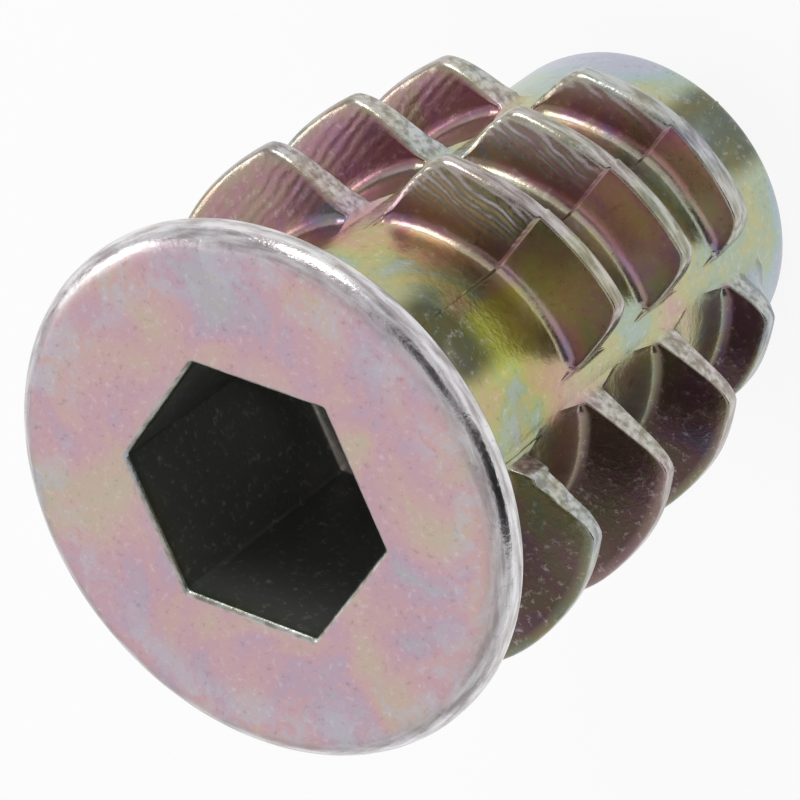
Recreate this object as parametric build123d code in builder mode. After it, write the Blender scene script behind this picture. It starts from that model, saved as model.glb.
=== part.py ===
from build123d import *
import os

os.makedirs("parts", exist_ok=True)

# A die-cast threaded insert, standing on its pilot end with the flange on top.
# All sizes are in millimetres; the far end of the pilot is at Z = 0.

# Driving sizes
overall_len = 23.3      # far end to front face
flange_dia = 17.6
flange_thick = 1.05
flange_round = 0.75     # rounding between front face and rim
back_round = 0.15
flange_root = 0.35      # fillet under the flange
core_dia = 11.5         # plain body between the fins, and the pilot
pilot_round = 0.45
hex_af = 8.0            # across the flats of the key socket
hex_depth = 8.7
hex_chamfer = 0.12
bore_dia = 6.65         # core hole of the M8 thread
bore_chamfer = 0.55
pitch = 4.6             # one turn of the outer thread
fin_count = 13          # four fins to the turn
fin_base = 1.1          # fin thickness where it leaves the core
fin_crest = 0.5
thread_dia = 17.6       # over the largest fins
parting_drop = 0.6      # the fins on the parting line stand this much lower
first_height = 3.45     # middle of the fin next to the pilot
arm_width = 7.6         # each row of fins is cut off square at this width
arm_round = 1.5         # rounding at the ends of a crest
widest = 16.0           # height of the largest crests
lead_top = 4.6          # below this height the crests form a lead-in cone
taper_in = 0.9          # how far the crests have drawn in by there
lead_slope = 0.75

# Sizes that follow from them
core_r = core_dia / 2
crest_r = thread_dia / 2
flange_back = overall_len - flange_thick
socket_floor = overall_len - hex_depth
root_depth = 0.5        # how far a fin is sunk into the core, so that they are one solid
spare = 0.4             # how far the uncut ridge stands out past the largest crest
sweep_turn = 110        # degrees of ridge cut to make one fin


def crest_reach(height):
    """How far the fins stand out at a height."""
    if height < lead_top:
        return crest_r - taper_in - lead_slope * (lead_top - height)
    return crest_r - taper_in * max(0, (widest - height) / (widest - lead_top)) ** 2


# A length of the thread's ridge, right-handed, thick at the core and narrow at the crest.
path = Helix(pitch=pitch, height=pitch * sweep_turn / 360, radius=core_r)
with BuildPart() as ridge:
    with BuildSketch(Plane(origin=path @ 0, x_dir=(1, 0, 0), z_dir=path % 0)):
        with BuildLine():
            tall = crest_r + spare - core_r
            slope = (fin_base - fin_crest) / 2 / (crest_r - core_r)
            root, tip = fin_base / 2 + root_depth * slope, fin_base / 2 - tall * slope
            Polyline((-root_depth, -root), (tall, -tip), (tall, tip), (-root_depth, root), close=True)
        make_face()
    sweep(path=path, is_frenet=True)
middle_ridge = ridge.part.rotate(Axis.Z, -sweep_turn / 2).move(
    Location((0, 0, -pitch * sweep_turn / 720)))


def fin(number):
    """One fin: the ridge cut to its row's width and reach, with rounded crest ends."""
    height = first_height + pitch * number / 4
    turn = 90 * number - 90
    drop = parting_drop if turn % 180 == 0 else 0
    reach = crest_reach(height) - drop
    half = arm_width / 2
    corner = (reach**2 - half**2) ** 0.5
    with BuildPart() as blade:
        add(middle_ridge)
        with BuildSketch(Plane.XY.offset(-pitch / 2)) as outline:
            with BuildLine():
                Polyline((corner, -half), (0, -half), (0, half), (corner, half))
                ThreePointArc((corner, half), (reach, 0), (corner, -half))
            make_face()
            fillet(outline.vertices().sort_by(Axis.X)[-2:], arm_round)
        extrude(amount=pitch, mode=Mode.INTERSECT)
    return blade.part.rotate(Axis.Z, turn).move(Location((0, 0, height)))


def rim(part, height, outermost):
    """The innermost or outermost round edge at a height."""
    rings = part.edges().filter_by(GeomType.CIRCLE).filter_by_position(
        Axis.Z, height - 0.01, height + 0.01)
    return rings.sort_by(SortBy.RADIUS)[-1 if outermost else 0]


fins = [fin(number) for number in range(fin_count)]

# The whole insert is one casting.
with BuildPart() as insert:
    with BuildSketch(Plane.XZ):
        with BuildLine():
            Polyline((0, 0), (core_r, 0), (core_r, flange_back), (flange_dia / 2, flange_back),
                     (flange_dia / 2, overall_len), (0, overall_len), close=True)
        make_face()
    revolve(axis=Axis.Z)
    fillet(rim(insert, 0, True), radius=pilot_round)
    fillet(rim(insert, overall_len, True), radius=flange_round)
    fillet(rim(insert, flange_back, True), radius=back_round)
    fillet(rim(insert, flange_back, False), radius=flange_root)
    # The outer thread, interrupted into four rows of fins
    for piece in fins:
        add(piece)
    # Key socket with its small lead-in, two of its corners on the parting line
    with BuildSketch(Plane.XY.offset(socket_floor)):
        RegularPolygon(hex_af / 2, 6, major_radius=False)
    extrude(amount=hex_depth, mode=Mode.SUBTRACT)
    with BuildSketch(Plane.XY.offset(overall_len)):
        RegularPolygon(hex_af / 2 + hex_chamfer, 6, major_radius=False)
    with BuildSketch(Plane.XY.offset(overall_len - hex_chamfer)):
        RegularPolygon(hex_af / 2, 6, major_radius=False)
    loft(mode=Mode.SUBTRACT)
    # Threaded hole from the far end up to the socket
    with BuildSketch():
        Circle(bore_dia / 2)
    extrude(amount=socket_floor, mode=Mode.SUBTRACT)
    with BuildSketch(Plane.XZ):
        with BuildLine():
            Polyline((0, 0), (bore_dia / 2 + bore_chamfer, 0), (bore_dia / 2, bore_chamfer),
                     (0, bore_chamfer), close=True)
        make_face()
    revolve(axis=Axis.Z, mode=Mode.SUBTRACT)

insert.part.label = "insert"
export_step(insert.part, "parts/insert.step")
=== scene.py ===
import math

import bpy
import numpy as np
from mathutils import Matrix, Vector


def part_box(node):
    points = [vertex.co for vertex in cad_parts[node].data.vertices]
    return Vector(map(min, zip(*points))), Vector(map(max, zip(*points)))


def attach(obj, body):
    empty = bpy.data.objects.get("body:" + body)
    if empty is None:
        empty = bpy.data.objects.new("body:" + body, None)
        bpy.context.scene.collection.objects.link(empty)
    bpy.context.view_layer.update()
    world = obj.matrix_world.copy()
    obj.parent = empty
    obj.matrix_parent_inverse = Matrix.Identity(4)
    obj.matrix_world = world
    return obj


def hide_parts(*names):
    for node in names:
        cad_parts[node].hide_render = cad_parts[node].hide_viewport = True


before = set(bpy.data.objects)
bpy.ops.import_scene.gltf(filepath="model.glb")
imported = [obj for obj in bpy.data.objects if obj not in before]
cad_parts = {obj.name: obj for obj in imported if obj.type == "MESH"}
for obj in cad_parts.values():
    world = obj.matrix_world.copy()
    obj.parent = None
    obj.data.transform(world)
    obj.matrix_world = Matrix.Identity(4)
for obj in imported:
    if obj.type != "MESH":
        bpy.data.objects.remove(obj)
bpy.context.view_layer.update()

# ---------------------------------------------------------------------------
# The casting: flange, key socket, plain core and the interrupted outer thread.
# One piece of zinc alloy, cast in a die that opens along Y, so a thin line of
# flash runs down +X and -X and the two halves differ a little in crispness.
# ---------------------------------------------------------------------------
box_low, box_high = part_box("insert")
length = (box_high.z - box_low.z) * 1000
flange_r = (box_high.x - box_low.x) * 500
flange_thick = 1.05
flange_round = 0.75
back_round = 0.15
flange_root = 0.35
core_r = 5.75
pilot_round = 0.45
mouth_r = 3.88
hex_half = 4.0
hex_chamfer = 0.12
socket_floor = length - 8.7
pitch = 4.6
first_height = 3.45
fin_half = 0.55
fin_slope = 0.098
row_half = 3.8
parting_drop = 0.6
widest, lead_top, taper_in, lead_slope = 16.0, 4.6, 0.9, 0.75
tail_half = 1.75
root_fillet = 0.36
seam = 1.8
columns = 470


def bump_at(angles, places, width):
    """One for angles at the given places, falling to nothing over width, in degrees."""
    total = np.zeros_like(angles)
    for place in places:
        off = (angles - place + 180) % 360 - 180
        total += np.exp(-((off / width) ** 2))
    return total


def ring_angles(count):
    """Angles round the casting from one gap between rows, closest where the form turns sharply."""
    fine = np.linspace(-135, 225, 14401)[:-1]
    density = 1 + 7 * bump_at(fine, (0, 180), 1.0) + 2.5 * bump_at(fine, (-135,), 2.0)
    density += 1.2 * bump_at(fine, [row + side for row in (0, 90, 180, 270) for side in (-34, 34)], 8)
    density += 3 * bump_at(fine, (60, 120, 240, 300), 0.8)
    run = np.cumsum(density) - density[0]
    spread = np.interp(np.arange(count) / count * run[-1], run, fine)
    corners = (-120, -60, 0, 60, 120, 180)
    keep = [a for a in spread if min(abs(a - c) for c in corners) > 0.12]
    return np.sort(np.array(keep + list(corners)))


def smooth_min(a, b, blend):
    """The smaller of two lengths, rounded where they cross."""
    mix = np.clip(0.5 + 0.5 * (b - a) / blend, 0, 1)
    return b + (a - b) * mix - blend * mix * (1 - mix)


def sway(a, z, seed):
    """Slow unevenness of a hand-dressed die, between about -1 and 1."""
    t = np.radians(a)
    return (np.sin(3 * t + 1.3 * seed + 0.7 * z) + np.sin(7 * t - 2.1 * seed + 1.1 * z)
            + 0.6 * np.sin(13 * t + 0.9 * seed - 0.5 * z)) / 2.6


def crest_reach(height):
    """How far the fins stand out at a height, the same barrel and lead-in cone as the solid."""
    barrel = flange_r - taper_in * np.maximum(0, (widest - height) / (widest - lead_top)) ** 2
    cone = flange_r - taper_in - lead_slope * (lead_top - height)
    return np.where(height < lead_top, cone, barrel)


angle = ring_angles(columns)
turned = angle + 135
climb = np.where(turned < seam, 180 + (seam - 180) * turned / seam, turned)
late = turned > 360 - seam
climb = np.where(late, 360 - seam - (180 - seam) * (turned - 360 + seam) / seam, climb)
row_of = np.round(angle / 90)
off_row = np.radians(angle - 90 * row_of)
on_parting = row_of % 2 == 0
crisp = np.clip(0.5 - np.sin(np.radians(angle)) * 70, 0, 1)
thicker = 0.17 * (1 - crisp)
line = bump_at(angle, (0, 180), 0.42)
mismatch = np.where(np.cos(np.radians(angle)) > 0, 1, -1) * np.tanh(np.sin(np.radians(angle)) * 90)
mismatch = mismatch * bump_at(angle, (0, 180), 9)


def fin_rise(turn_number):
    """Height of the fins over the core all the way round one turn of the thread."""
    centre = first_height + pitch * (turned - 45) / 360 + pitch * turn_number
    reach = crest_reach(centre) - np.where(on_parting, parting_drop, 0)
    reach = reach - 0.05 + 0.05 * sway(angle, turn_number * 2.0, 1 + turn_number)
    side = (row_half + 0.06 * sway(angle, turn_number, 4)) / np.maximum(np.abs(np.sin(off_row)), 0.05)
    rise = smooth_min(reach, side, 1.5 - 0.6 * crisp) - core_r
    if turn_number == 3:
        start = bump_at(angle, (-50,), 9)
        ragged = 0.3 * start * np.sin(np.radians(angle) * 61) * np.sin(np.radians(angle) * 23 + 1)
        rise = np.where(turned < 90, rise - 0.1 * start + ragged, 0)
    return np.maximum(rise, 0) * np.clip((44 - np.abs(np.degrees(off_row))) / 2, 0, 1)


valley = [0.0, 0.35, 0.7]
flank_steps = np.linspace(0, 1, 9)[:-1]
corner_steps = np.radians([0, 22, 45, 68])
fillet_steps = np.radians([5, 35, 62])


def half_section(rise, foot):
    """Distances from a fin's middle and heights over the core, from its foot up to its crest."""
    small = np.minimum(root_fillet, rise * 0.5)
    crest = np.where(foot > 1, 0.24, foot - fin_slope * rise)
    round_off = np.minimum((0.10 + 0.20 * (1 - crisp)), np.minimum(crest * 0.85, rise * 0.4 + 1e-4))
    out, up, kind = [], [], []
    for t in fillet_steps:
        out.append(foot + small * (1 - np.sin(t)))
        up.append(small * (1 - np.cos(t)))
        kind.append(1.0)
    low, top = small * 0.9, rise - round_off
    for t in flank_steps:
        h = low + (top - low) * t
        out.append(foot + (crest - foot) * np.maximum(h, 0) / np.maximum(rise, 0.01))
        up.append(h)
        kind.append(1.0)
    for t in corner_steps:
        out.append(crest - round_off * (1 - np.cos(t)))
        up.append(top + round_off * np.sin(t))
        kind.append(0.6 - 0.6 * t / corner_steps[-1])
    out.append((crest - round_off) * 0.45)
    up.append(rise)
    kind.append(0.0)
    return out, up, kind


rings = []


def ring(radius, height, flank=0.0, crest=0.0, face=0.0, socket=0.0, cut=0.0, tone=0.0):
    """One closed row of points round the axis, with the marks that its finish reads, painted flank shade among them."""
    full = np.ones_like(angle)
    rings.append((radius * full, height * full, flank * full, crest * full, face * full,
                  socket * full, cut * full, tone * full))


def core_ring(height):
    """A row on the plain core, with the flash line and the slight mismatch of the die halves."""
    skin = core_r + 0.045 * line * (0.7 + 0.4 * sway(angle, height, 2)) + 0.02 * mismatch
    ring(skin + 0.015 * sway(angle, height * 0.4, 3), height)


# Pilot end: the flat annulus round the bore, then the rounded edge
for r in (mouth_r, 4.2, 4.9, core_r - pilot_round - 0.06):
    ring(r, 0)
for t in np.radians([0, 22, 45, 68, 90]):
    ring(core_r - pilot_round + pilot_round * np.sin(t) + 0.05 * line * np.sin(t),
         pilot_round * (1 - np.cos(t)))

# Foot of the thread, then turn after turn of fins, each row of points climbing with the helix
tail = np.clip((95 - turned) / 8, 0, 1) * np.clip(turned / 3, 0, 1)
first_foot = fin_half + (tail_half - fin_half) * tail
thread_foot = first_height + pitch * (climb - 45) / 360 - first_foot - root_fillet - 0.1
for t in np.linspace(0, 1, 9)[1:]:
    core_ring(pilot_round + (thread_foot - pilot_round) * t)

for number in range(4):
    middle = first_height + pitch * (climb - 45) / 360 + pitch * number
    floor_line = middle - pitch / 2
    free = np.full_like(angle, pitch)
    if number == 3:
        free = pitch - pitch * np.clip(climb - 90, 0, 360) / 360
    rise = fin_rise(number)
    solid = np.clip(rise / 0.3, 0, 1)
    low_foot = first_foot if number == 0 else fin_half * np.ones_like(angle)
    low_foot = low_foot + 0.05 * sway(angle, number, 6)
    top_foot = fin_half + 0.05 * sway(angle, number, 7) + thicker
    rows = []
    if number > 0:
        rows += [(-pitch / 2 + (pitch / 2 - fin_half - root_fillet) * v, 0, 0) for v in valley[1:]]
    out, up, kind = half_section(rise, low_foot)
    rows += [(-o, u, k) for o, u, k in zip(out, up, kind)]
    out, up, kind = half_section(rise, top_foot)
    rows += [(o, u, k) for o, u, k in list(zip(out, up, kind))[::-1]]
    rows += [(fin_half + root_fillet + (pitch / 2 - fin_half - root_fillet) * v, 0, 0) for v in valley[1:]]
    rows.append((pitch / 2, 0, 0))
    begin = thread_foot - middle if number == 0 else -pitch / 2 * np.ones_like(angle)
    under = np.ones_like(angle) if number else 1 - 0.85 * tail
    # Painted light and shade for the flanks: 1 on the parting-line rows and the cut half, 0 (shaded) on the crisp row
    # at -Y
    tone_mark = np.maximum(np.cos(np.radians(angle)) ** 2, 1 - crisp)
    for i, (away, up_by, kind) in enumerate(rows):
        even = begin + (pitch / 2 - begin) * (i + 1) / len(rows)
        place = even + (away - even) * solid
        height = floor_line + (place + pitch / 2) / pitch * free
        skin = core_r + up_by + 0.035 * line * (0.8 + 0.5 * sway(angle, i, 2)) + 0.02 * mismatch
        skin = skin + 0.015 * sway(angle, height * 0.4, 3)
        on_fin = solid * np.clip(np.asarray(up_by) / 0.12, 0, 1)
        crest_mark = on_fin * max(0.0, 1 - kind * 1.6)
        flank_mark = on_fin * min(1, kind * 1.2) * np.where(np.asarray(away) < 0, under, 1)
        ring(np.minimum(skin, flange_r - 0.01), height, flank=flank_mark, crest=crest_mark,
             cut=on_fin * (1 - crisp), tone=tone_mark)
thread_top = height
flange_back = length - flange_thick
for t in np.linspace(0, 1, 6)[1:]:
    core_ring(thread_top + (flange_back - flange_root - thread_top) * t)

# Flange: fillet, underside, rim with its small back edge and full front round, then the face
for t in np.radians([25, 50, 75]):
    ring(core_r + flange_root * (1 - np.cos(t)) + 0.05 * line, flange_back - flange_root * (1 - np.sin(t)))
for r in (core_r + flange_root, 7.0, 7.9, flange_r - back_round - 0.05):
    ring(r, flange_back)
for t in np.radians([15, 45, 75]):
    ring(flange_r - back_round * (1 - np.sin(t)), flange_back + back_round * (1 - np.cos(t)))
ring(flange_r, flange_back + back_round + 0.02)
round_in = flange_round * 1.2
for t in np.radians([2, 12, 24, 36, 48, 60, 72, 82, 89]):
    ring(flange_r - round_in * (1 - np.cos(t)), length - flange_round * (1 - np.sin(t)), face=float(np.sin(t)))
face_edge = flange_r - round_in - 0.02
to_corner = np.cos(np.radians((angle % 60) - 30))
mouth = np.minimum((hex_half + hex_chamfer) / to_corner, (hex_half + hex_chamfer) * 1.148)
socket = np.minimum(hex_half / to_corner, hex_half * 1.146)
for t in (0.03, 0.2, 0.45, 0.7, 0.9, 0.985):
    ring(face_edge + (mouth - face_edge) * t, length, face=1.0)

# Key socket: a fine lead-in, six drafted walls and the flat shoulder at the bottom
ring(mouth - 0.015, length - 0.012, face=0.4, crest=1.0)
ring(socket + 0.015, length - hex_chamfer + 0.02, crest=1.0, socket=0.1)
# The socket mark grows with depth, painting shade down the socket walls
for depth, mark in ((0.03, 0.3), (0.3, 0.8), (1.0, 1.0), (2.5, 1.0), (5.0, 1.0), (7.5, 1.0)):
    ring(socket - 0.004 * depth, length - hex_chamfer - depth, socket=mark)
ring(socket - 0.06, socket_floor + 0.1, socket=1.0)
ring(socket - 0.15, socket_floor, socket=0.6)
for r in (3.7, 3.48):
    ring(r, socket_floor, socket=0.7)


def skin_mesh(name, radius, height, around, marks):
    """A closed skin of rows round the axis, joined row to row, in metres."""
    rows, count = radius.shape
    t = np.radians(around)
    points = np.stack([radius * np.cos(t), radius * np.sin(t), height], -1).reshape(-1, 3) / 1000
    i, j = np.meshgrid(np.arange(rows - 1), np.arange(count), indexing="ij")
    k = (j + 1) % count
    quads = np.stack([i * count + j, i * count + k, (i + 1) * count + k, (i + 1) * count + j], -1)
    mesh = bpy.data.meshes.new(name)
    mesh.from_pydata(points.tolist(), [], quads.reshape(-1, 4).tolist())
    for mark, values in marks.items():
        layer = mesh.attributes.new(mark, "FLOAT", "POINT")
        layer.data.foreach_set("value", np.ascontiguousarray(values, dtype=np.float32).ravel())
    mesh.polygons.foreach_set("use_smooth", [True] * len(mesh.polygons))
    mesh.update()
    piece = bpy.data.objects.new(name, mesh)
    bpy.context.scene.collection.objects.link(piece)
    return piece


stack = [np.array([row[part] for row in rings]) for part in range(8)]
casting = skin_mesh("casting", stack[0], stack[1], angle, {
    "flank": stack[2], "crest": stack[3], "face": stack[4], "socket": stack[5], "cut": stack[6],
    "tone": stack[7]})
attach(casting, "root")
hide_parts("insert")

# ---------------------------------------------------------------------------
# The tapped bore: a machine thread cut after casting, from the pilot end up to
# the shoulder of the key socket, with a countersink at each end.
# ---------------------------------------------------------------------------
bore_r = 3.325
thread_deep = 0.62
machine_pitch = 1.25
countersink = 0.55
turn_angles = np.linspace(0, 360, 121)[:-1]
levels = np.concatenate([[0.0], np.linspace(countersink, socket_floor - 0.15, 122), [socket_floor]])
grid_angle, grid_level = np.meshgrid(turn_angles, levels)
wave = (grid_level / machine_pitch - grid_angle / 360) % 1
tooth = np.clip(1.25 * (1 - np.abs(2 * wave - 1)) - 0.1, 0, 1)
run_in = np.clip((grid_level - countersink) / 0.8, 0, 1) * np.clip((socket_floor - 0.15 - grid_level) / 0.8, 0, 1)
bore_skin = bore_r + thread_deep * tooth * run_in
bore_skin[0] = mouth_r
bore_skin[-1] = 3.48
# The bore's socket mark grows from the pilot end inwards, painting shade into the bore
bore = skin_mesh("tapped_bore", bore_skin[::-1], grid_level[::-1], turn_angles, {
    "socket": np.clip(grid_level[::-1] / 1.5, 0, 1)})
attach(bore, "root")

# ---------------------------------------------------------------------------
# Yellow chromate over zinc: a film so thin that it shows interference colours,
# pink and peach on the face, green and yellow down the core, blue at the pilot.
# ---------------------------------------------------------------------------


def add_node(tree, kind, inputs=None, **settings):
    """A node with its settings, its input values, and links for inputs given as sockets."""
    made = tree.nodes.new(kind)
    for key, value in settings.items():
        setattr(made, key, value)
    for key, value in (inputs or {}).items():
        if isinstance(value, bpy.types.NodeSocket):
            tree.links.new(value, made.inputs[key])
        else:
            made.inputs[key].default_value = value
    return made


def maths(tree, operation, *values):
    """The result of a Math node on numbers or sockets."""
    made = add_node(tree, "ShaderNodeMath", dict(enumerate(values)), operation=operation)
    return made.outputs[0]


def mix_colour(tree, amount, first, second, blend="MIX"):
    """The result of mixing two colours by an amount."""
    made = add_node(tree, "ShaderNodeMix", data_type="RGBA", blend_type=blend)
    for socket_number, value in ((0, amount), (6, first), (7, second)):
        if isinstance(value, bpy.types.NodeSocket):
            tree.links.new(value, made.inputs[socket_number])
        else:
            made.inputs[socket_number].default_value = value
    return made.outputs[2]


def ramp(tree, amount, stops, smooth="EASE"):
    """A colour ramp with stops of place and colour."""
    made = add_node(tree, "ShaderNodeValToRGB", {"Fac": amount})
    made.color_ramp.interpolation = smooth
    while len(made.color_ramp.elements) > 1:
        made.color_ramp.elements.remove(made.color_ramp.elements[0])
    for number, (place, colour) in enumerate(stops):
        stop = made.color_ramp.elements[0] if number == 0 else made.color_ramp.elements.new(place)
        stop.position = place
        stop.color = (*colour, 1)
    return made.outputs[0]


def mark(tree, name):
    """One of the marks painted on the skin's points."""
    return add_node(tree, "ShaderNodeAttribute", attribute_name=name).outputs["Fac"]


def new_group(name, inputs, outputs):
    """An empty shader group with its named inputs and outputs."""
    group = bpy.data.node_groups.new(name, "ShaderNodeTree")
    for label, kind, value in inputs:
        made = group.interface.new_socket(label, in_out="INPUT", socket_type=kind)
        made.default_value = value
    for label, kind in outputs:
        group.interface.new_socket(label, in_out="OUTPUT", socket_type=kind)
    return group, group.nodes.new("NodeGroupInput"), group.nodes.new("NodeGroupOutput")


# Film: interference colour from a film thickness that drifts over the surface
film, given, result = new_group(
    "chromate_film",
    [("Thickness", "NodeSocketFloat", 0.4), ("Drift", "NodeSocketFloat", 0.3), ("Patch Scale", "NodeSocketFloat", 260.0)],
    [("Color", "NodeSocketColor")])
place = add_node(film, "ShaderNodeTexCoord").outputs["Object"]
cloud = add_node(film, "ShaderNodeTexNoise", {"Vector": place, "Scale": given.outputs["Patch Scale"],
                                              "Detail": 3.0, "Roughness": 0.55, "Distortion": 0.6})
grain = add_node(film, "ShaderNodeTexNoise", {"Vector": place, "Scale": 5200.0, "Detail": 2.0})
thick = maths(film, "MULTIPLY_ADD", maths(film, "SUBTRACT", cloud.outputs["Fac"], 0.5), given.outputs["Drift"],
              given.outputs["Thickness"])
thick = maths(film, "MULTIPLY_ADD", maths(film, "SUBTRACT", grain.outputs["Fac"], 0.5), 0.10, thick)
tint = ramp(film, thick, [
    (0.00, (0.46, 0.47, 0.56)), (0.10, (0.40, 0.49, 0.52)), (0.20, (0.41, 0.48, 0.36)),
    (0.30, (0.50, 0.49, 0.27)), (0.40, (0.54, 0.46, 0.30)), (0.50, (0.57, 0.40, 0.34)),
    (0.60, (0.54, 0.35, 0.38)), (0.70, (0.44, 0.36, 0.45)), (0.80, (0.36, 0.44, 0.48)),
    (0.90, (0.38, 0.48, 0.34)), (1.00, (0.50, 0.50, 0.22))])
film.links.new(tint, result.inputs["Color"])

# Grain: the dull fine texture of the cast and pickled surface
cast_grain, given, result = new_group(
    "cast_grain",
    [("Grain Size", "NodeSocketFloat", 3600.0), ("Waviness", "NodeSocketFloat", 0.3)],
    [("Height", "NodeSocketFloat"), ("Fleck", "NodeSocketFloat"), ("Pit", "NodeSocketFloat")])
place = add_node(cast_grain, "ShaderNodeTexCoord").outputs["Object"]
fine = add_node(cast_grain, "ShaderNodeTexNoise", {"Vector": place, "Scale": given.outputs["Grain Size"],
                                                   "Detail": 4.0, "Roughness": 0.7})
slow = add_node(cast_grain, "ShaderNodeTexNoise", {"Vector": place, "Scale": 420.0, "Detail": 2.0})
height_sum = maths(cast_grain, "MULTIPLY_ADD", slow.outputs["Fac"], given.outputs["Waviness"], fine.outputs["Fac"])
cast_grain.links.new(height_sum, result.inputs["Height"])
flecks = ramp(cast_grain, fine.outputs["Fac"], [(0.56, (0, 0, 0)), (0.70, (1, 1, 1))], "LINEAR")
cast_grain.links.new(flecks, result.inputs["Fleck"])
pits = ramp(cast_grain, fine.outputs["Fac"], [(0.30, (1, 1, 1)), (0.42, (0, 0, 0))], "LINEAR")
cast_grain.links.new(pits, result.inputs["Pit"])

# Streaks: fine bright lines round the axis where tumbling has rubbed the edges
drawn_streaks, given, result = new_group(
    "rubbed_streaks",
    [("Fineness", "NodeSocketFloat", 4200.0), ("Threshold", "NodeSocketFloat", 0.5)],
    [("Streak", "NodeSocketFloat")])
place = add_node(drawn_streaks, "ShaderNodeTexCoord").outputs["Object"]
split = add_node(drawn_streaks, "ShaderNodeSeparateXYZ", {"Vector": place})
round_axis = maths(drawn_streaks, "ARCTAN2", split.outputs["Y"], split.outputs["X"])
reach = add_node(drawn_streaks, "ShaderNodeVectorMath", {0: place, 1: (1, 1, 0)}, operation="MULTIPLY")
reach = add_node(drawn_streaks, "ShaderNodeVectorMath", {0: reach.outputs[0]}, operation="LENGTH").outputs["Value"]
wrapped = add_node(drawn_streaks, "ShaderNodeCombineXYZ", {
    "X": maths(drawn_streaks, "MULTIPLY", round_axis, 0.0016), "Y": reach, "Z": split.outputs["Z"]})
lines = add_node(drawn_streaks, "ShaderNodeTexNoise", {"Vector": wrapped.outputs[0], "Detail": 3.0,
                                                       "Scale": given.outputs["Fineness"]})
streak = maths(drawn_streaks, "SUBTRACT", lines.outputs["Fac"], given.outputs["Threshold"])
streak = add_node(drawn_streaks, "ShaderNodeClamp", {"Value": maths(drawn_streaks, "MULTIPLY_ADD", streak, 4.0, 0.5)})
drawn_streaks.links.new(streak.outputs[0], result.inputs["Streak"])

# Cutter marks: straight ridges left in the die, across each row of fins
cutter, given, result = new_group(
    "cutter_marks",
    [("Spacing", "NodeSocketFloat", 0.00042), ("Wander", "NodeSocketFloat", 0.5)],
    [("Height", "NodeSocketFloat")])
place = add_node(cutter, "ShaderNodeTexCoord").outputs["Object"]
split = add_node(cutter, "ShaderNodeSeparateXYZ", {"Vector": place})
outward = maths(cutter, "MAXIMUM", maths(cutter, "ABSOLUTE", split.outputs["X"]),
                maths(cutter, "ABSOLUTE", split.outputs["Y"]))
wander = add_node(cutter, "ShaderNodeTexNoise", {"Vector": place, "Scale": 700.0, "Detail": 2.0})
phase = maths(cutter, "MULTIPLY_ADD", wander.outputs["Fac"], given.outputs["Wander"],
              maths(cutter, "DIVIDE", outward, given.outputs["Spacing"]))
ridge = maths(cutter, "SINE", maths(cutter, "MULTIPLY", phase, 2 * math.pi))
cutter.links.new(ridge, result.inputs["Height"])


def use_group(tree, group, values):
    """A placed copy of a group with its own values."""
    placed = tree.nodes.new("ShaderNodeGroup")
    placed.node_tree = group
    for label, value in values.items():
        if isinstance(value, bpy.types.NodeSocket):
            tree.links.new(value, placed.inputs[label])
        else:
            placed.inputs[label].default_value = value
    return placed


def surface(name):
    """A new material, its tree and its shader."""
    made = bpy.data.materials.new(name)
    made.use_nodes = True
    return made, made.node_tree, made.node_tree.nodes["Principled BSDF"]


chromated, tree, shader = surface("chromated_zinc")
place = add_node(tree, "ShaderNodeTexCoord").outputs["Object"]
split = add_node(tree, "ShaderNodeSeparateXYZ", {"Vector": place})
across = maths(tree, "SQRT", maths(tree, "ADD", maths(tree, "MULTIPLY", split.outputs["X"], split.outputs["X"]),
                                   maths(tree, "MULTIPLY", split.outputs["Y"], split.outputs["Y"])))
flank, crest, face = mark(tree, "flank"), mark(tree, "crest"), mark(tree, "face")
deep, cut, tone = mark(tree, "socket"), mark(tree, "cut"), mark(tree, "tone")
grain_marks = use_group(tree, cast_grain, {"Grain Size": 3600.0, "Waviness": 0.8})
streaks = use_group(tree, drawn_streaks, {"Fineness": 4200.0, "Threshold": 0.5})

# Core: from blue-grey at the pilot through green and yellow to pink, and vivid under the flange
along = maths(tree, "DIVIDE", split.outputs["Z"], length / 1000)
core_film = ramp(tree, along, [(0.0, (0.08,) * 3), (0.14, (0.14,) * 3), (0.3, (0.40,) * 3), (0.45, (0.28,) * 3),
                               (0.62, (0.50,) * 3), (0.8, (0.30,) * 3), (0.95, (0.25,) * 3)])
core_tint = use_group(tree, film, {"Thickness": core_film, "Drift": 0.85, "Patch Scale": 300.0}).outputs["Color"]
vivid = use_group(tree, film, {"Thickness": 0.27, "Drift": 1.3, "Patch Scale": 420.0}).outputs["Color"]
vivid = mix_colour(tree, 1.0, vivid, vivid, "MULTIPLY")
vivid = mix_colour(tree, 1.0, vivid, (1.7, 1.7, 1.5, 1), "MULTIPLY")
near_flange = ramp(tree, along, [(0.56, (0, 0, 0)), (0.70, (0.7,) * 3), (0.82, (0.35,) * 3), (0.95, (0.1,) * 3)])
core_tint = mix_colour(tree, near_flange, core_tint, vivid)
round_axis = maths(tree, "MULTIPLY_ADD", maths(tree, "ARCTAN2", split.outputs["Y"], split.outputs["X"]), 0.5, 0.5)
pool_noise = add_node(tree, "ShaderNodeTexNoise", {"Vector": place, "Scale": 380.0, "Detail": 3.0,
                                                   "Roughness": 0.55, "Distortion": 0.6})
pool = ramp(tree, pool_noise.outputs["Fac"], [(0.34, (0.6,) * 3), (0.55, (1, 1, 1))])
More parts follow.
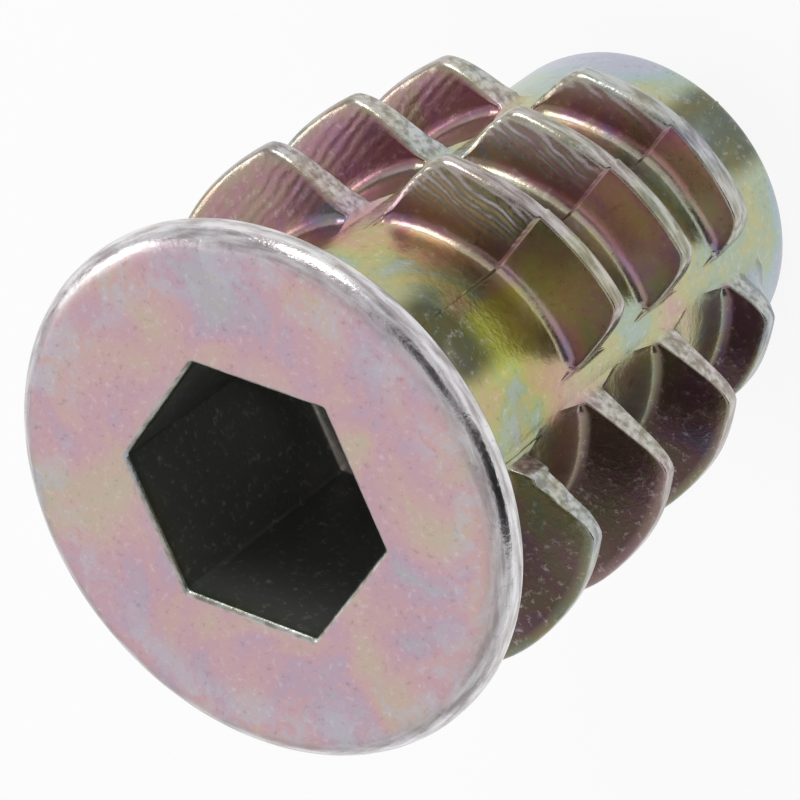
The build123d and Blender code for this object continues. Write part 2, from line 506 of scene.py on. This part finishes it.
# A yellow-green patch under the flange beside the +X parting line: partly film colour, partly a painted reflection of
# bounced light
glow_arc = ramp(tree, round_axis, [(0.20, (0, 0, 0)), (0.33, (1, 1, 1)), (0.42, (1, 1, 1)), (0.47, (0, 0, 0))])
glow_len = ramp(tree, along, [(0.30, (0, 0, 0)), (0.42, (0.5,) * 3), (0.65, (0.9,) * 3), (0.72, (0.9,) * 3),
                              (0.78, (0.1,) * 3)])
glow = maths(tree, "MULTIPLY", maths(tree, "MULTIPLY", glow_arc, glow_len), pool)
core_tint = mix_colour(tree, glow, core_tint, (0.56, 0.60, 0.10, 1))
# Painted reflection: a dark stripe along the core and the pilot beside the +X parting line
tide_arc = ramp(tree, round_axis, [(0.26, (0, 0, 0)), (0.34, (1, 1, 1)), (0.54, (1, 1, 1)), (0.62, (0, 0, 0))])
tide_len = ramp(tree, along, [(0.0, (0.85,) * 3), (0.13, (0.8,) * 3), (0.2, (0.3,) * 3), (0.70, (0.2,) * 3),
                              (0.76, (0.95,) * 3), (0.95, (0.95,) * 3)])
tide = maths(tree, "MULTIPLY", maths(tree, "MULTIPLY", tide_arc, tide_len), pool)
core_tint = mix_colour(tree, tide, core_tint, (0.20, 0.19, 0.18, 1), "MULTIPLY")

# Face: dusty pink with peach, lilac and green patches, greyer and scuffed towards the rim
face_film = use_group(tree, film, {"Thickness": 0.55, "Drift": 1.3, "Patch Scale": 300.0}).outputs["Color"]
face_tint = mix_colour(tree, 0.44, face_film, (0.57, 0.385, 0.455, 1))
ring_zone = ramp(tree, maths(tree, "MULTIPLY", across, 100.0), [
    (0.40, (0.35,) * 3), (0.50, (0, 0, 0)), (0.62, (0, 0, 0)), (0.74, (1, 1, 1)), (0.90, (1, 1, 1))])
scuff_noise = add_node(tree, "ShaderNodeTexNoise", {"Vector": place, "Scale": 850.0, "Detail": 5.0,
                                                    "Roughness": 0.65, "Distortion": 0.8})
scuff = ramp(tree, scuff_noise.outputs["Fac"], [(0.46, (0, 0, 0)), (0.60, (1, 1, 1))], "LINEAR")
scuff = maths(tree, "MULTIPLY", scuff, ring_zone)
face_tint = mix_colour(tree, maths(tree, "MULTIPLY", scuff, 0.6), face_tint, (0.50, 0.50, 0.55, 1))
skin_tint = mix_colour(tree, face, core_tint, face_tint)

# Flanks: brown and olive, darkest beside the flange on the crisp half as painted shade, greyer on the cut half
flank_film = use_group(tree, film, {"Thickness": 0.48, "Drift": 1.3, "Patch Scale": 420.0}).outputs["Color"]
# Painted shade and light by row: dark flanks on the crisp row at -Y under the flange, lighter flanks along the parting
# line
flank_shade = mix_colour(tree, tone, (0.17, 0.145, 0.16, 1), (1.15, 1.05, 1.3, 1))
flank_shade = mix_colour(tree, cut, flank_shade, (0.62, 0.46, 0.58, 1))
flank_tint = mix_colour(tree, 1.0, flank_film, flank_shade, "MULTIPLY")
# Towards the crests of the cut half near the +X parting line: pale grey, partly a painted highlight on the ridged
# flanks
high_up = ramp(tree, maths(tree, "MULTIPLY", across, 100.0), [(0.62, (0, 0, 0)), (0.74, (1, 1, 1))])
near_parting = ramp(tree, round_axis, [(0.48, (0, 0, 0)), (0.54, (1, 1, 1)), (0.74, (1, 1, 1)), (0.86, (0.1,) * 3)])
pale = maths(tree, "MULTIPLY", maths(tree, "MULTIPLY", high_up, cut), maths(tree, "MULTIPLY", near_parting, 0.85))
flank_tint = mix_colour(tree, pale, flank_tint, (0.60, 0.56, 0.60, 1))
skin_tint = mix_colour(tree, flank, skin_tint, flank_tint)

# Crests and rim: rubbed back to grey zinc, with streaks along the rubbing
worn = mix_colour(tree, streaks.outputs["Streak"], (0.18, 0.16, 0.17, 1), (0.60, 0.59, 0.62, 1))
worn = mix_colour(tree, 0.2, worn, core_tint)
skin_tint = mix_colour(tree, maths(tree, "MULTIPLY", crest, 0.85), skin_tint, worn)
above_flange = maths(tree, "GREATER_THAN", split.outputs["Z"], (length - flange_thick) / 1000)
rim_zone = ramp(tree, maths(tree, "MULTIPLY", across, 100.0), [(0.80, (0, 0, 0)), (0.86, (1, 1, 1))])
rim_amount = maths(tree, "MULTIPLY", rim_zone, above_flange)
rim_tint = mix_colour(tree, streaks.outputs["Streak"], (0.42, 0.38, 0.40, 1), (0.84, 0.83, 0.87, 1))
skin_tint = mix_colour(tree, maths(tree, "MULTIPLY", rim_amount, 0.85), skin_tint, rim_tint)
skin_tint = mix_colour(tree, maths(tree, "MULTIPLY", grain_marks.outputs["Fleck"], 0.28), skin_tint,
                       (0.78, 0.77, 0.76, 1))
pit = maths(tree, "MULTIPLY", grain_marks.outputs["Pit"], 0.30)
skin_tint = mix_colour(tree, pit, skin_tint, (0.12, 0.10, 0.10, 1))
# Key socket and bore: grey with pale flecks; the darkening deeper in is painted shade
inside = mix_colour(tree, grain_marks.outputs["Fleck"], (0.30, 0.31, 0.30, 1), (0.62, 0.60, 0.58, 1))
skin_tint = mix_colour(tree, deep, skin_tint, inside)
tree.links.new(skin_tint, shader.inputs["Base Color"])
dull = maths(tree, "MULTIPLY_ADD", grain_marks.outputs["Height"], 0.12, 0.13)
dull = maths(tree, "MULTIPLY_ADD", face, 0.20, dull)
dull = maths(tree, "MULTIPLY_ADD", flank, 0.06, dull)
dull = maths(tree, "MULTIPLY_ADD", deep, 0.25, dull)
dull = maths(tree, "MULTIPLY_ADD", rim_amount, -0.16, dull)
tree.links.new(dull, shader.inputs["Roughness"])
shader.inputs["Metallic"].default_value = 1.0
cut_height = use_group(tree, cutter, {"Spacing": 0.00036, "Wander": 1.6}).outputs["Height"]
cut_where = maths(tree, "MULTIPLY", maths(tree, "MULTIPLY", cut, flank), maths(tree, "MULTIPLY_ADD", high_up, 0.8, 0.1))
cut_where = maths(tree, "MULTIPLY", cut_where, maths(tree, "MULTIPLY_ADD", near_parting, 0.8, 0.15))
relief = maths(tree, "MULTIPLY_ADD", maths(tree, "MULTIPLY", cut_height, maths(tree, "MULTIPLY", cut_where, pool)),
               1.3, grain_marks.outputs["Height"])
relief = maths(tree, "MULTIPLY_ADD", streaks.outputs["Streak"], maths(tree, "MULTIPLY", rim_amount, 0.25), relief)
bump = add_node(tree, "ShaderNodeBump", {"Strength": 0.55, "Distance": 0.00003, "Height": relief})
tree.links.new(bump.outputs["Normal"], shader.inputs["Normal"])
casting.data.materials.append(chromated)
bore.data.materials.append(chromated)

# ---------------------------------------------------------------------------
# Studio: a plain pale floor, a soft overcast surround and three soft lamps.
# ---------------------------------------------------------------------------
bpy.ops.mesh.primitive_plane_add(size=3.0, location=(0, 0, 0))
floor = bpy.context.object
floor.name = "floor"
paper, tree, shader = surface("white_paper")
tooth_noise = add_node(tree, "ShaderNodeTexNoise", {"Scale": 900.0, "Detail": 3.0})
paper_tint = mix_colour(tree, tooth_noise.outputs["Fac"], (0.93, 0.93, 0.93, 1), (0.96, 0.96, 0.96, 1))
tree.links.new(paper_tint, shader.inputs["Base Color"])
shader.inputs["Roughness"].default_value = 0.9
white = add_node(tree, "ShaderNodeEmission", {"Color": (1, 1, 1, 1), "Strength": 1.0})
ray = add_node(tree, "ShaderNodeLightPath")
seen = maths(tree, "MAXIMUM", ray.outputs["Is Camera Ray"], ray.outputs["Is Glossy Ray"])
seen = maths(tree, "MAXIMUM", seen, ray.outputs["Is Transmission Ray"])
blend = add_node(tree, "ShaderNodeMixShader", {0: maths(tree, "MULTIPLY", seen, 0.88), 1: shader.outputs[0],
                                               2: white.outputs[0]})
tree.links.new(blend.outputs[0], tree.nodes["Material Output"].inputs["Surface"])
floor.data.materials.append(paper)

world = bpy.data.worlds.new("studio")
bpy.context.scene.world = world
world.use_nodes = True
tree = world.node_tree
surround = tree.nodes["Background"]
surround.inputs["Color"].default_value = (1, 1, 1, 1)
surround.inputs["Strength"].default_value = 0.66


def soft_lamp(name, place, size, power):
    """A square area lamp aimed at the middle of the insert."""
    data = bpy.data.lights.new(name, "AREA")
    data.shape = "SQUARE"
    data.size = size
    data.energy = power
    lamp = bpy.data.objects.new(name, data)
    lamp.location = place
    aim = Vector((0, 0, length / 2000)) - Vector(place)
    lamp.rotation_euler = aim.to_track_quat("-Z", "Y").to_euler()
    bpy.context.scene.collection.objects.link(lamp)
    return lamp


soft_lamp("key", (0.28, 0.26, 0.12), 0.14, 0.42)
soft_lamp("rim", (-0.16, 0.30, 0.20), 0.12, 0.20)
soft_lamp("face", (-0.27, 0.055, 0.33), 0.42, 0.20)


def dark_card(name, place, size):
    """A black felt card that gives the bright metal something dark to reflect."""
    bpy.ops.mesh.primitive_plane_add(size=size, location=place)
    card = bpy.context.object
    card.name = name
    aim = Vector((0, 0, length / 2000)) - Vector(place)
    card.rotation_euler = aim.to_track_quat("Z", "Y").to_euler()
    card.data.materials.append(felt)
    card.visible_camera = False


felt, felt_tree, felt_shader = surface("black_felt")
felt_shader.inputs["Base Color"].default_value = (0.02, 0.02, 0.02, 1)
felt_shader.inputs["Roughness"].default_value = 1.0
dark_card("card_low", (0.16, -0.24, 0.10), 0.22)
dark_card("card_high", (0.30, -0.06, 0.34), 0.20)

# ---------------------------------------------------------------------------
# Camera: a long lens looking down past the flange, rolled so that the insert
# points up and to the right.
# ---------------------------------------------------------------------------
azimuth, elevation, roll = math.radians(78.8), math.radians(48.1), math.radians(127.7)
target = Vector((-0.0018, 0.0001, 0.0133))
distance = 0.1428
back = Vector((math.sin(azimuth) * math.cos(elevation), -math.cos(azimuth) * math.cos(elevation),
               math.sin(elevation)))
level = Vector((0, 0, 1)).cross(back).normalized()
upright = back.cross(level)
up = upright * math.cos(roll) + level * math.sin(roll)
right = up.cross(back)
lens = bpy.data.cameras.new("camera")
lens.sensor_width = 36
lens.lens = 202.5
lens.clip_start = 0.01
camera = bpy.data.objects.new("camera", lens)
turn = Matrix((right, up, back)).transposed()
camera.matrix_world = Matrix.Translation(target + back * distance) @ turn.to_4x4()
bpy.context.scene.collection.objects.link(camera)
bpy.context.scene.camera = camera
bpy.context.scene.view_settings.view_transform = "Standard"
